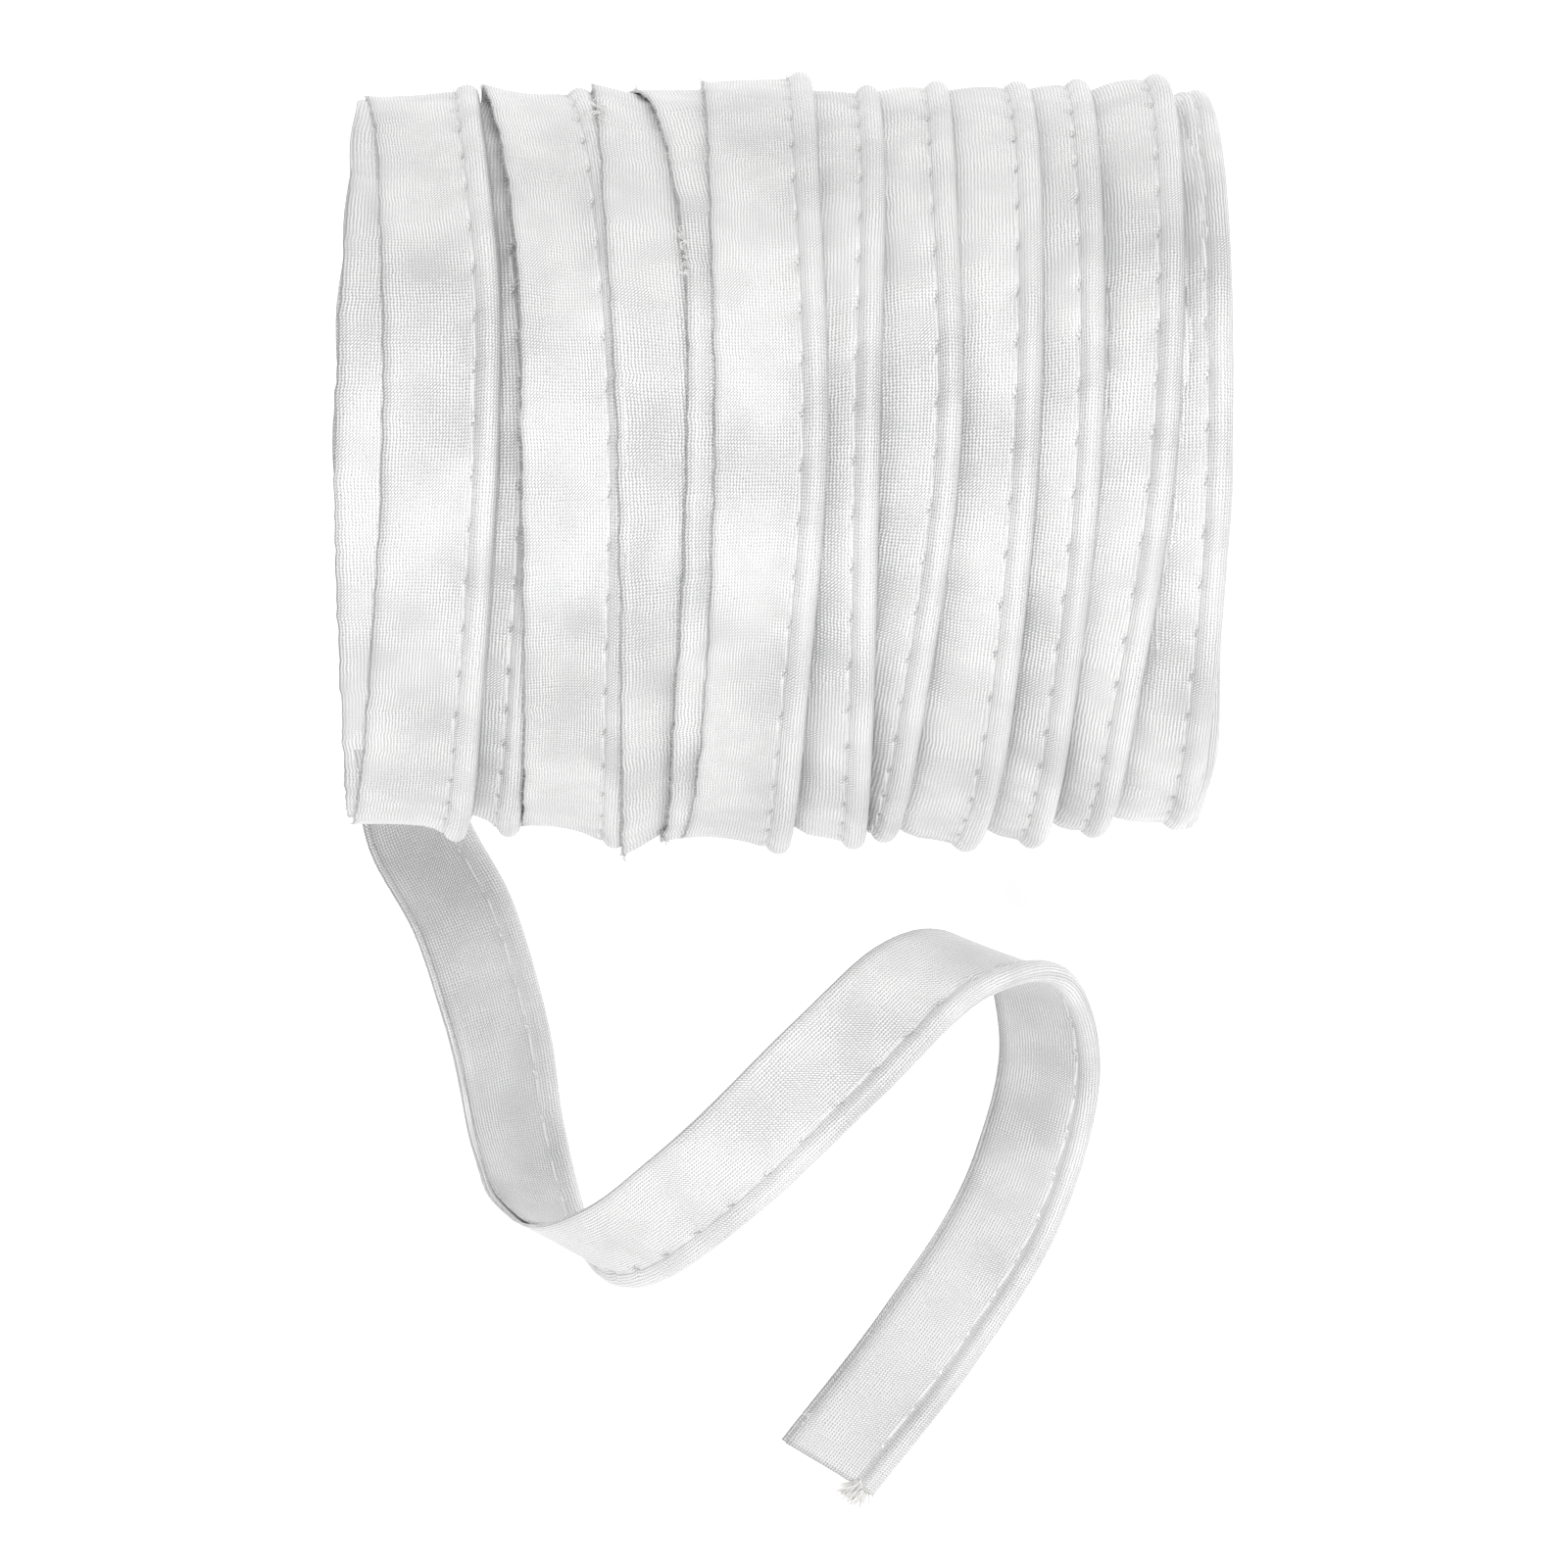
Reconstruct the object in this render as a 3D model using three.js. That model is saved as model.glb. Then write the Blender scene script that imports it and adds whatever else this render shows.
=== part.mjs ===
// A roll of white satin bias piping with its loose end curling away from it.
// Millimetres, +Z up. X runs along the roll's axis, and the loose end leaves towards -Y.
// The origin is the middle of the small flat spot that the roll rests on.
import * as THREE from 'three';

// Roll
const rollRadius = 32.3;        // to the outer face of the flat flanges
const axisHeight = 31.8;        // a little less than the radius: the roll sits on a flat spot
const holeRadius = 11;
const endDish = 0.8;            // how far the middle of each end lies inside the outermost turn
const angleStep = 9;            // degrees between sections round the roll

// Piping strip
const flangeWidth = 8.8;        // raw edge to the middle of the bead
const beadRadius = 1.25;
const flangeThickness = 1.0;    // two layers of satin, a little apart
const clearance = 0.3;

// Loose end under the roll
const leaveAngle = 285;         // where the outermost turn parts from the roll, in degrees
const joinAngle = 336;          // where it first comes up from the turns below it
const underBeadDrop = 2.2;      // depth of the turns below it, where its bead leaves
const underFlangeDrop = 1.3;
const tailSteps = 96;

// Frayed end of the filler cord
const cordLength = 2.8;
const cordRadius = 0.85;
const cordFlare = 1.15;

// Where each turn lies along X, at five places over the side that faces up:
// 0 degrees is the side of the loose end, 90 the top, 180 the far side.
// raw: its raw edge, where that lies on top. bead: the middle of its bead.
// edge, seam, crest: height of the flange at its outer side, at the stitches, and of the bead,
// measured from rollRadius.
const turns = [
  { raw: [-37.6, -34.8, -32.8, -33.8, -36.5], edge: 0.0,
    bead: [-29.1, -26.6, -24.6, -26.0, -28.1], seam: -0.1, crest: 1.0 },
  { bead: [-24.4, -22.4, -20.8, -22.1, -22.1], edge: -1.0, seam: -0.9, crest: 0.2 },
  { raw: [-22.8, -21.6, -21.3, -23.0, -25.6], edge: 0.4,
    bead: [-15.1, -14.1, -13.5, -15.4, -18.4], seam: -0.2, crest: 0.9 },
  { raw: [-13.9, -13.4, -13.5, -15.1, -16.6], edge: 0.5 },
  { raw: [-10.4, -9.0, -7.7, -8.9, -12.5], edge: 0.3 },
  { raw: [-8.7, -6.6, -5.5, -6.1, -7.0], edge: 0.4,
    bead: [-0.7, 0.6, 2.4, 1.7, 1.1], seam: 0.0, crest: 1.2 },
  { bead: [5.9, 6.3, 6.7, 7.3, 7.0], edge: -0.4, seam: 0.0, crest: 1.1 },
  { bead: [8.6, 10.5, 13.4, 13.2, 13.1], edge: -0.4, seam: -0.1, crest: 1.0 },
  { bead: [15.8, 17.9, 19.8, 20.4, 20.0], edge: -0.4, seam: 0.0, crest: 1.1 },
  { bead: [21.6, 23.0, 25.0, 25.4, 25.3], edge: -0.4, seam: 0.0, crest: 1.1 },
  { bead: [27.0, 28.3, 31.2, 32.2, 32.2], edge: -0.4, seam: 0.0, crest: 1.2 },
  { bead: [34.2, 34.8, 35.7, 35.9, 35.7], edge: -0.4, seam: -0.2, crest: 0.9 },
];
const firstEdge = [-37.9, -36.9, -36.7, -36.2, -37.1];   // raw edge of the turn below the first
const firstEdgeDrop = 1.0;

// The loose end: middle of the bead and raw edge at each place along it, from the roll outwards.
const tailRoute = [
  { bead: [-28.3, -8.6, 1.25], raw: [-37.1, -8.9, 0.5] },
  { bead: [-29.2, -20.5, 1.25], raw: [-37.9, -21.5, 0.5] },
  { bead: [-29.5, -32.5, 1.25], raw: [-38.1, -34.5, 0.5] },
  { bead: [-25.5, -45.5, 1.3], raw: [-33.8, -48.0, 0.6] },
  { bead: [-21.0, -59.5, 4.0], raw: [-29.5, -60.0, 6.0] },
  { bead: [-18.0, -70.5, 13.5], raw: [-25.5, -67.0, 17.5] },
  { bead: [-12.5, -72.0, 26.5], raw: [-18.5, -66.5, 29.5] },
  { bead: [-3.0, -65.0, 35.0], raw: [-9.0, -59.0, 36.5] },
  { bead: [7.5, -55.0, 36.0], raw: [1.0, -48.5, 35.5] },
  { bead: [17.0, -46.5, 30.0], raw: [10.5, -42.0, 26.5] },
  { bead: [25.0, -46.0, 18.0], raw: [17.5, -44.0, 14.0] },
  { bead: [28.0, -55.5, 7.5], raw: [20.0, -53.5, 4.5] },
  { bead: [24.5, -69.5, 2.2], raw: [17.0, -66.0, 0.6] },
  { bead: [16.5, -82.5, 1.25], raw: [9.5, -78.0, 0.5] },
  { bead: [7.5, -94.0, 1.25], raw: [0.0, -89.5, 0.5] },
];

const satin = new THREE.MeshStandardMaterial({ color: 0xebe9e6, roughness: 0.42, metalness: 0 });
const satinInside = new THREE.MeshStandardMaterial({ color: 0xe3e1dd, roughness: 0.5, metalness: 0 });
const cotton = new THREE.MeshStandardMaterial({ color: 0xf1efea, roughness: 0.9, metalness: 0 });

// Curve through five evenly spaced values over the upper side, eased back round the underside.
function alongTurn(values, angle) {
  if (angle > 180) {
    const ease = (1 - Math.cos(Math.PI * (angle - 180) / 180)) / 2;
    return values[4] + (values[0] - values[4]) * ease;
  }
  const place = Math.min(angle / 45, 3.9999);
  const i = Math.floor(place);
  const t = place - i;
  const [before, from, to, after] = [i - 1, i, i + 1, i + 2].map((k) => values[Math.min(Math.max(k, 0), 4)]);
  return from + 0.5 * t * (to - before
    + t * (2 * before - 5 * from + 4 * to - after + t * (3 * (from - to) + after - before)));
}

// One turn's columns, from its outer side to the foot of its bead: [x, height over rollRadius].
function turnColumns(turn, angle, start, startHeight) {
  const columns = [];
  if (turn.raw) {
    const raw = alongTurn(turn.raw, angle);
    columns.push([raw, startHeight], [raw + 0.15, turn.edge]);
  }
  if (!turn.bead) return columns;
  const bead = alongTurn(turn.bead, angle);
  const outer = turn.raw ? alongTurn(turn.raw, angle) : start;
  const seamX = bead - beadRadius - 0.15;
  columns.push([(outer + seamX) / 2, (turn.edge + turn.seam) / 2 + 0.1]);
  columns.push([seamX, turn.seam - 0.15]);
  columns.push([bead - 0.75, turn.crest - 0.3], [bead, turn.crest], [bead + 0.75, turn.crest - 0.3]);
  columns.push([bead + beadRadius, turn.seam - 0.3]);
  return columns;
}

// The roll's outer side at one angle, as [x, radius], from the first raw edge to the last bead.
function rollColumns(angle) {
  const parted = angle >= leaveAngle && angle < joinAngle;
  let columns = [[alongTurn(firstEdge, angle), -firstEdgeDrop]];
  turns.forEach((turn, index) => {
    const [x, height] = columns[columns.length - 1];
    const own = turnColumns(turn, angle, x, height);
    if (index === 0 && parted) {
      own.forEach((column, k) => {
        column[1] = -(k < 3 ? underFlangeDrop : underBeadDrop);
      });
    }
    columns = columns.concat(own);
  });
  for (let k = columns.length - 2; k >= 0; k -= 1) {
    columns[k][0] = Math.min(columns[k][0], columns[k + 1][0] - 0.1);
  }
  return columns.map(([x, height]) => [x, rollRadius + height]);
}

// One closed section of the roll's wall: outer side, right end, hole and left end.
function rollSection(angle) {
  const columns = rollColumns(angle);
  const left = columns[0][0];
  const right = columns[columns.length - 1][0];
  const middle = (rollRadius + holeRadius) / 2;
  const ring = [...columns, [right - 0.1, rollRadius - 2], [right - endDish / 2, middle],
    [right - endDish, holeRadius], [left + endDish, holeRadius], [left + endDish / 2, middle]];
  const turnAngle = THREE.MathUtils.degToRad(angle);
  return ring.map(([x, radius]) => {
    const y = -radius * Math.cos(turnAngle);
    const z = axisHeight + radius * Math.sin(turnAngle);
    const onFloor = z < 0 ? axisHeight / (axisHeight - z) : 1;
    return new THREE.Vector3(x, y * onFloor, Math.max(z, 0));
  });
}

// Skin over a row of matching sections. A closed row joins its last section to its first.
function loft(sections, closedRow) {
  const around = sections[0].length;
  const rows = sections.length;
  const index = [];
  for (let row = 0; row < (closedRow ? rows : rows - 1); row += 1) {
    const next = (row + 1) % rows;
    for (let k = 0; k < around; k += 1) {
      const beside = (k + 1) % around;
      index.push(row * around + k, row * around + beside, next * around + beside);
      index.push(row * around + k, next * around + beside, next * around + k);
    }
  }
  return { index, points: sections.flat(), around, rows };
}

function solidFrom({ index, points }) {
  const geometry = new THREE.BufferGeometry();
  geometry.setAttribute('position', new THREE.Float32BufferAttribute(points.flatMap((p) => p.toArray()), 3));
  geometry.setIndex(index);
  geometry.computeVertexNormals();
  return geometry;
}

// A loft with both ends closed by the profile's own outline.
function cappedLoft(sections, profile) {
  const skin = loft(sections, false);
  const last = (skin.rows - 1) * skin.around;
  for (const [a, b, c] of THREE.ShapeUtils.triangulateShape(profile, [])) {
    skin.index.push(a, c, b);
    skin.index.push(last + a, last + b, last + c);
  }
  return solidFrom(skin);
}

// Outline across the strip: x from the middle of the bead towards the raw edge, y its thickness.
function stripProfile() {
  const half = flangeThickness / 2;
  const neck = Math.sqrt(beadRadius ** 2 - half ** 2);
  const outline = [[-flangeWidth, -half], [-flangeWidth * 0.55, -half], [-neck - 0.3, -half]];
  for (const turn of [-125, -90, -45, 0, 45, 90, 125]) {
    const a = THREE.MathUtils.degToRad(turn);
    outline.push([beadRadius * Math.cos(a), beadRadius * Math.sin(a)]);
  }
  outline.push([-neck - 0.3, half], [-flangeWidth * 0.55, half], [-flangeWidth, half]);
  return outline.map(([x, y]) => new THREE.Vector2(x, y));
}

function stripFrame(beadLine, rawLine, t) {
  const centre = beadLine.getPoint(t);
  const across = centre.clone().sub(rawLine.getPoint(t)).normalize();
  const along = beadLine.getTangent(t);
  const up = along.clone().cross(across).normalize();
  return { centre, across, up, along };
}

function tailGeometry(beadLine, rawLine) {
  const profile = stripProfile();
  const sections = [];
  for (let step = 0; step <= tailSteps; step += 1) {
    const { centre, across, up } = stripFrame(beadLine, rawLine, step / tailSteps);
    sections.push(profile.map((p) => centre.clone().addScaledVector(across, p.x).addScaledVector(up, p.y)));
  }
  for (const point of sections.flat()) point.z = Math.max(point.z, 0);
  return cappedLoft(sections, profile);
}

// A short tuft that opens out a little towards its frayed tip.
function cordGeometry(beadLine, rawLine) {
  const sides = 8;
  const { centre, across, up, along } = stripFrame(beadLine, rawLine, 1);
  const profile = [];
  for (let k = 0; k < sides; k += 1) {
    const a = 2 * Math.PI * k / sides;
    profile.push(new THREE.Vector2(Math.cos(a), Math.sin(a)));
  }
  const rings = [[clearance, cordRadius], [cordLength * 0.5, cordRadius * 1.1], [cordLength, cordFlare]];
  const sections = rings.map(([distance, radius]) => profile.map((p) => centre.clone()
    .addScaledVector(along, distance)
    .addScaledVector(across, p.x * radius)
    .addScaledVector(up, p.y * radius)));
  return cappedLoft(sections, profile);
}

function windingGeometry() {
  const angles = [];
  for (let angle = 0; angle < 360; angle += angleStep) angles.push(angle);
  angles.push(leaveAngle - 1, leaveAngle, joinAngle - 1, joinAngle);
  angles.sort((a, b) => a - b);
  const skin = loft(angles.map(rollSection), true);
  return solidFrom(skin);
}

function named(name, geometry, material) {
  const mesh = new THREE.Mesh(geometry, material);
  mesh.name = name;
  return mesh;
}

const toCurve = (key) => new THREE.CatmullRomCurve3(
  tailRoute.map((row) => new THREE.Vector3(...row[key])), false, 'catmullrom', 0.5);
const beadLine = toCurve('bead');
const rawLine = toCurve('raw');

const roll = new THREE.Group();
roll.add(named('winding', windingGeometry(), satin));
roll.add(named('tail', tailGeometry(beadLine, rawLine), satinInside));
roll.add(named('cord_end', cordGeometry(beadLine, rawLine), cotton));

export default roll;
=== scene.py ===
import math

import bpy
import numpy as np
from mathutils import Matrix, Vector


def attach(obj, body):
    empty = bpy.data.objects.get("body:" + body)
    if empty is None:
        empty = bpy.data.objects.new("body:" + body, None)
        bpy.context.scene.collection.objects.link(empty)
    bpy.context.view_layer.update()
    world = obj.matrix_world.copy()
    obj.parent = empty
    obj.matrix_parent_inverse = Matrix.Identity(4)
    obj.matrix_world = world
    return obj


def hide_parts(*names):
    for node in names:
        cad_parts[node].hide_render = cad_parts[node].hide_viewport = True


# A roll of white satin bias piping on a pale table, seen from straight above.
# Sizes are in millimetres, apart from the studio's, which are in metres.
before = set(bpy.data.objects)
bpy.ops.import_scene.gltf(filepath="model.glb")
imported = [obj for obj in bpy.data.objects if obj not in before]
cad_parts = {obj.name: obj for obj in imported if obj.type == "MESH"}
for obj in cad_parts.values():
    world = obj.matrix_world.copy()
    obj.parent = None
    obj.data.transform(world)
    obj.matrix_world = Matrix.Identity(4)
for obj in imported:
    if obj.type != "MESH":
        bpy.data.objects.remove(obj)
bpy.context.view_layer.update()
mm = 0.001
print("frame loaded")

# Camera
photoCamera = {
    "place": (0.0, -28.4, 521.8),    # above the middle of roll and loose end
    "pixelsPerUnit": 5684,           # focal length in the photo's own pixels
    "frameWidth": 1600,
    "sensor": 36.0,
    "nearest": 10,
    "farthest": 20000,
}


def addCamera(spec):
    data = bpy.data.cameras.new("photoCamera")
    data.sensor_fit = "HORIZONTAL"
    data.sensor_width = spec["sensor"]
    data.lens = spec["sensor"] * spec["pixelsPerUnit"] / spec["frameWidth"]
    data.clip_start = spec["nearest"] * mm
    data.clip_end = spec["farthest"] * mm
    camera = bpy.data.objects.new("photoCamera", data)
    camera.location = [c * mm for c in spec["place"]]
    bpy.context.scene.collection.objects.link(camera)
    bpy.context.scene.camera = camera


addCamera(photoCamera)


# Shader maths: a Value wraps a socket, and expressions on it add the nodes.
class Value:
    def __init__(self, finish, socket):
        self.finish = finish
        self.socket = socket

    def math(self, operation, *others):
        return self.finish.node("ShaderNodeMath", {"operation": operation}, dict(enumerate((self, *others))))

    def __add__(self, other):
        return self.math("ADD", other)

    def __mul__(self, other):
        return self.math("MULTIPLY", other)

    def __sub__(self, other):
        return self.math("SUBTRACT", other)

    def __truediv__(self, other):
        return self.math("DIVIDE", other)

    def __neg__(self):
        return self.math("MULTIPLY", -1.0)

    def __rsub__(self, other):
        return (-self) + other

    __radd__ = __add__
    __rmul__ = __mul__

    def stripes(self):      # one bright line for each whole number
        return (self * (2 * math.pi)).math("COSINE") * 0.5 + 0.5

    def size(self):
        return self.math("ABSOLUTE")

    def fraction(self):
        return self.math("FRACT")

    def above(self, other):
        return self.math("MAXIMUM", other)

    def below(self, other):
        return self.math("MINIMUM", other)

    def smooth(self, low, high):
        return self.finish.node("ShaderNodeMapRange", {"interpolation_type": "SMOOTHSTEP"},
                                {"Value": self, "From Min": low, "From Max": high})

    def otherOutput(self, number):
        return Value(self.finish, self.socket.node.outputs[number])


class Finish:
    def __init__(self, name):
        self.material = bpy.data.materials.new(name)
        self.material.use_nodes = True
        self.tree = self.material.node_tree
        self.shader = self.tree.nodes["Principled BSDF"]

    def plug(self, slot, item):
        if isinstance(item, Value):
            self.tree.links.new(item.socket, slot)
        else:
            slot.default_value = item

    def node(self, kind, settings, sockets, output=0):
        made = self.tree.nodes.new(kind)
        for name, value in settings.items():
            setattr(made, name, value)
        for name, value in sockets.items():
            self.plug(made.inputs[name], value)
        return Value(self, made.outputs[output])

    def noise(self, place, scale, detail):
        return self.node("ShaderNodeTexNoise", {"noise_dimensions": "3D"},
                         {"Vector": place, "Scale": scale, "Detail": detail, "Roughness": 0.55})

    def mixColour(self, factor, first, second):
        return self.node("ShaderNodeMix", {"data_type": "RGBA"}, {0: factor, 6: first, 7: second}, output=2)

    def set(self, **sockets):
        for name, value in sockets.items():
            self.plug(self.shader.inputs[name.replace("_", " ")], value)


satinLook = {
    "pitch": 0.28,              # between floats of the weave
    "slant": 0.7,               # how far each float leans across its cell
    "bright": (0.97, 0.97, 0.965, 1),
    # painted shade between the floats of the weave
    "gap": (0.24, 0.24, 0.25, 1),
    # colour of the painted shade
    "dark": (0.12, 0.12, 0.13, 1),
    # painted shade: share of brightness left on the side that lay against the roll, darker for how the light
    # falls on it
    "shadedInnerFace": 0.82,             # the side that lay against the roll
    "roughness": 0.36,
    "relief": 0.06,
    # Noises over the cloth, each with its scale and detail
    "cloud": (0.075, 1.5),
    "patch": (0.27, 2.0),
    "slub": (1.3, 2.0),
    "grain": (2.6, 1.0),
    # Places across the cloth, from the bead's outermost line
    "beadEnds": (1.2, 2.4),
    "innerFace": (0.8, 2.4),
    "seamAt": 3.05,
    "outerEdge": (10.78, 10.92),
    "innerEdge": (10.36, 10.48),
    # Painted shade marks: where each fades out and how dark its shade is
    "stitch": 4.4,
    "tickAcross": (0.06, 0.2),
    "tickAlong": (0.25, 0.6),
    "tickLean": 0.45,
    "holeShadeDark": 0.42,
    "creaseAcross": (0.04, 0.18),
    "creaseSway": 0.07,
    "creaseShadeDark": 0.4,
    "rawEdgeShade": 0.3,
    "outlineAcross": (0.1, 0.35),
    "outlineShade": 0.16,
}


def satinFinish(spec):
    finish = Finish("satin")
    place = finish.node("ShaderNodeUVMap", {"uv_map": "clothMm"}, {})
    across = finish.node("ShaderNodeSeparateXYZ", {}, {"Vector": place})
    along = across.otherOutput(1)
    noises = ("cloud", "patch", "slub", "grain")
    cloud, patch, slub, grain = (finish.noise(place, *spec[name]) for name in noises)
    # Painted shade where pieces touch, read from the meshes' attribute
    paintedShade = finish.node("ShaderNodeAttribute", {"attribute_name": "paintedShade"}, {}, output=2)

    # The weave: ribs and rungs of floats, in wandering columns
    column = across / spec["pitch"] + slub * 0.8 + cloud * 2.0
    leaning = (column + 0.5).fraction() - 0.5
    mix = patch.smooth(0.36, 0.64)
    row = along / spec["pitch"] + grain * 0.7 + patch * 1.2 - leaning * (spec["slant"] - mix * 0.3)
    ribs = column.stripes() * (0.4 + mix * 0.5)
    rungs = row.stripes() * (1 - mix * 0.3)
    crossings = ribs * rungs

    # Painted sheen: how many of the floats are bright, in patches from the cloud noise, a little lighter on
    # the bead as painted highlight, and darker where the painted shade of touching pieces lies
    fromBead = across.size()
    onBead = 1 - fromBead.smooth(*spec["beadEnds"])
    paintedSheen = (cloud.smooth(0.3, 0.66) * 0.4 + 0.5 + onBead * 0.05 - paintedShade * 0.3).below(1.0)
    floats = ((ribs + rungs - crossings) * paintedSheen + crossings * (1 - paintedSheen)) * (grain * 0.4 + 0.82)
    # The weave's pattern in colour, its dark between the floats painted as shade, darker still where pieces
    # touch
    cloth = finish.mixColour((floats - paintedShade * 0.2).smooth(-0.2, 0.84), spec["gap"], spec["bright"])

    # Painted shade: in the stitch holes, in the crease along them, at the raw edges and along the bead's
    # outermost line
    inside = across.smooth(*spec["innerFace"])
    sideways = fromBead - spec["seamAt"]
    fromHole = ((along / spec["stitch"] + 0.5).fraction() - 0.5) * spec["stitch"]
    tickSide = (sideways + 0.1 + fromHole * spec["tickLean"]).size()
    # painted shade in each stitch hole
    paintedHoleShade = (1 - tickSide.smooth(*spec["tickAcross"])) * (1 - fromHole.size().smooth(*spec["tickAlong"]))
    sway = (along * (2 * math.pi / spec["stitch"])).math("COSINE") * spec["creaseSway"]
    creaseSide = (sideways + 0.14 + slub * 0.25 + sway).size()
    # painted shade in the crease beside the stitches
    paintedCreaseShade = (1 - creaseSide.smooth(*spec["creaseAcross"])) * (slub * spec["creaseShadeDark"])
    paintedSeamShade = (paintedHoleShade * spec["holeShadeDark"]).above(paintedCreaseShade) * (1 - inside)
    # painted shade on the raw edges of both layers
    outerEdgeShade, innerEdgeShade = (-across).smooth(*spec["outerEdge"]), across.smooth(*spec["innerEdge"])
    edgeShade = outerEdgeShade * spec["rawEdgeShade"] + innerEdgeShade * spec["rawEdgeShade"]
    # painted shade: a thin darker line along the bead's outermost line, where the surface turns away
    beadLineShade = (1 - fromBead.smooth(*spec["outlineAcross"])) * spec["outlineShade"]
    # All painted shade together: inner face, stitch holes and crease, raw edges and the bead's outermost line
    shade = (inside * (1 - spec["shadedInnerFace"])).above(paintedSeamShade).above(edgeShade).above(beadLineShade)

    # Painted shade mixed over the cloth's colour
    colour = finish.mixColour(shade, cloth, spec["dark"])
    relief = {"Strength": 0.35, "Distance": spec["relief"] * mm, "Height": floats}
    bump = finish.node("ShaderNodeBump", {}, relief)
    finish.set(Base_Color=colour, Normal=bump, Roughness=cloud * 0.25 - floats * 0.15 + spec["roughness"],
               Specular_IOR_Level=0.5, Sheen_Weight=0.1, Sheen_Roughness=0.4)
    return finish.material


plainLooks = {              # the grain's scale is for one metre
    "sewingThread": {"colour": (0.88, 0.88, 0.88, 1), "roughness": 0.6, "grain": 2500},
    "looseYarn": {"colour": (0.93, 0.93, 0.92, 1), "roughness": 0.7, "grain": 2500},
    "fillerCord": {"colour": (0.92, 0.91, 0.89, 1), "roughness": 0.85, "grain": 1800},
}


def plainFinish(name):
    spec = plainLooks[name]
    finish = Finish(name)
    place = finish.node("ShaderNodeTexCoord", {}, {}, output=3)     # the piece's own coordinates
    fuzz = finish.node("ShaderNodeTexNoise", {}, {"Vector": place, "Scale": spec["grain"], "Detail": 3.0})
    bump = finish.node("ShaderNodeBump", {}, {"Strength": 0.25, "Distance": 0.1 * mm, "Height": fuzz})
    dim = [c * 0.9 for c in spec["colour"][:3]] + [1]
    finish.set(Base_Color=finish.mixColour(fuzz.smooth(0.3, 0.65), dim, spec["colour"]), Normal=bump,
               Roughness=fuzz * 0.2 + (spec["roughness"] - 0.1))
    return finish.material


satin = satinFinish(satinLook)
thread, yarn, cotton = (plainFinish(name) for name in plainLooks)
print("finishes made")


# Mesh helpers. The map "clothMm" runs across the cloth from the bead's outermost line, below 0 on its outer
# face and above 0 on its inner one, and along the strip. A float attribute holds the shade painted where
# pieces touch.
def addPiece(name, points, faces, material, uv=None, paintedShade=None):
    mesh = bpy.data.meshes.new(name)
    mesh.from_pydata((np.asarray(points) * mm).tolist(), [], [tuple(int(i) for i in face) for face in faces])
    mesh.update()
    mesh.polygons.foreach_set("use_smooth", [True] * len(mesh.polygons))
    if uv is not None:
        layer = mesh.uv_layers.new(name="clothMm")
        corner = np.empty(len(mesh.loops), dtype=np.int32)
        mesh.loops.foreach_get("vertex_index", corner)
        layer.data.foreach_set("uv", np.asarray(uv, dtype=np.float32)[corner].ravel())
    # the painted shade where pieces touch, as an attribute on each point
    if paintedShade is not None:
        values = mesh.attributes.new("paintedShade", "FLOAT", "POINT")
        values.data.foreach_set("value", np.asarray(paintedShade, dtype=np.float32).ravel())
    mesh.materials.append(material)
    piece = bpy.data.objects.new(name, mesh)
    bpy.context.scene.collection.objects.link(piece)
    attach(piece, "root")
    return piece


def gridFaces(rows, columns, closedRows=False):
    r, c = np.meshgrid(np.arange(rows if closedRows else rows - 1), np.arange(columns), indexing="ij")
    here, after = r * columns, (r + 1) % rows * columns
    beside = (c + 1) % columns
    return np.stack([here + c, after + c, after + beside, here + beside], axis=-1).reshape(-1, 4)


def gridMap(across, along):
    shape = (len(along), len(across))
    uv = np.stack([np.broadcast_to(across, shape), np.broadcast_to(along[:, None], shape)], -1)
    return uv.reshape(-1, 2)


def smoothStep(x, low, high):
    t = np.clip((x - low) / (high - low), 0, 1)
    return t * t * (3 - 2 * t)


def curveBetween(p, t):     # a smooth curve from p[1] to p[2], which p[0] and p[3] lead into
    return p[1] + 0.5 * t * (p[2] - p[0] + t * (2 * p[0] - 5 * p[1] + 4 * p[2] - p[3]
                                                + t * (3 * (p[1] - p[2]) + p[3] - p[0])))


def unit(vectors):
    return vectors / np.linalg.norm(vectors, axis=-1, keepdims=True)


# Soft waves of the cloth: their height, how many run together, the longest and the shortest
rippleColumns = ("height", "count", "longest", "shortest")
ripples = {
    "rawEdge": (0.07, 5, 9, 1.7),
    "nearRawEdge": (0.12, 5, 34, 9),
    "middle": (0.07, 4, 13, 5),
    "looseEnd": (0.10, 5, 30, 8),
    "endBeads": (0.35, 6, 160, 25),
    "endRawEdges": (0.4, 6, 140, 18),
    "endLayers": (0.16, 5, 60, 9),
    "inside": (0.12, 4, 30, 7),
}


def waves(along, seed, name):
    spec = dict(zip(rippleColumns, ripples[name]))
    shortening = spec["shortest"] / spec["longest"]
    draw = np.random.default_rng(seed)
    total = np.zeros_like(along)
    for k in range(spec["count"]):
        length = spec["longest"] * shortening ** (k / (spec["count"] - 1))
        total += np.sin(2 * np.pi * (along / length * draw.uniform(0.85, 1.15) + draw.uniform()))
    return spec["height"] * (total / math.sqrt(spec["count"]))


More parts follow.
